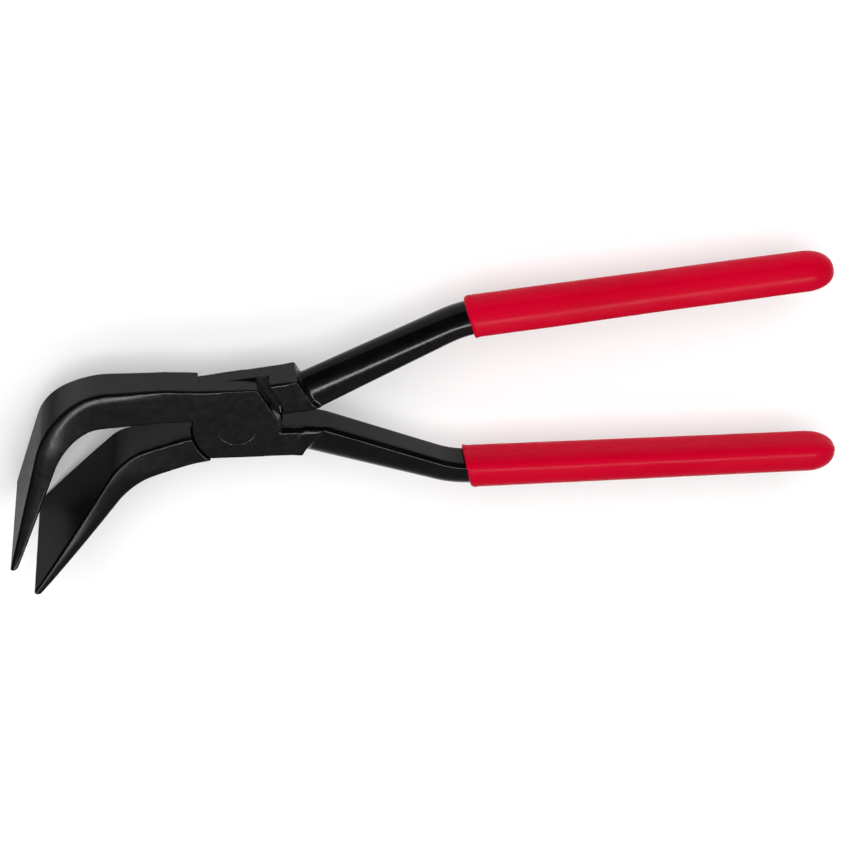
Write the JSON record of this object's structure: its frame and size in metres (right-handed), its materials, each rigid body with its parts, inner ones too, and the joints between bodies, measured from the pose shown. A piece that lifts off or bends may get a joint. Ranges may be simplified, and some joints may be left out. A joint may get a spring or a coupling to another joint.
{
  "type": "bent-jaw seaming pliers",
  "caption": "Hand pliers with downward-bent flaring blade jaws, a round half-lap joint and dipped plastic grips, for gripping and bending sheet edges.",
  "frame": {"origin": "where the pivot axis leaves the joint's underside, with the pliers lying on their side", "axes": "+Z along the pivot axis, out of the cheek that faces up; +X from the pivot along the handles; +Y from the lower jaw towards the upper jaw"},
  "size_m": [0.2877, 0.091, 0.0572],
  "materials": {
    "black_steel": "satin black forged steel",
    "rivet_steel": "ground flush, satin black",
    "red_plastic": "dipped soft plastic, satin crimson"
  },
  "bodies": {
    "upper_jaw_side": {"upper_jaw_arm": "black_steel", "lower_grip": "red_plastic", "pivot_rivet": "rivet_steel"},
    "lower_jaw_side": {"lower_jaw_arm": "black_steel", "upper_grip": "red_plastic"}
  },
  "joints": [
    {"name": "jaw_pivot", "type": "hinge", "parent": "upper_jaw_side", "child": "lower_jaw_side", "pos_m": [0, 0, 0.0067], "axis": [0, 0, 1], "range_deg": [-6.9, 42]}
  ]
}
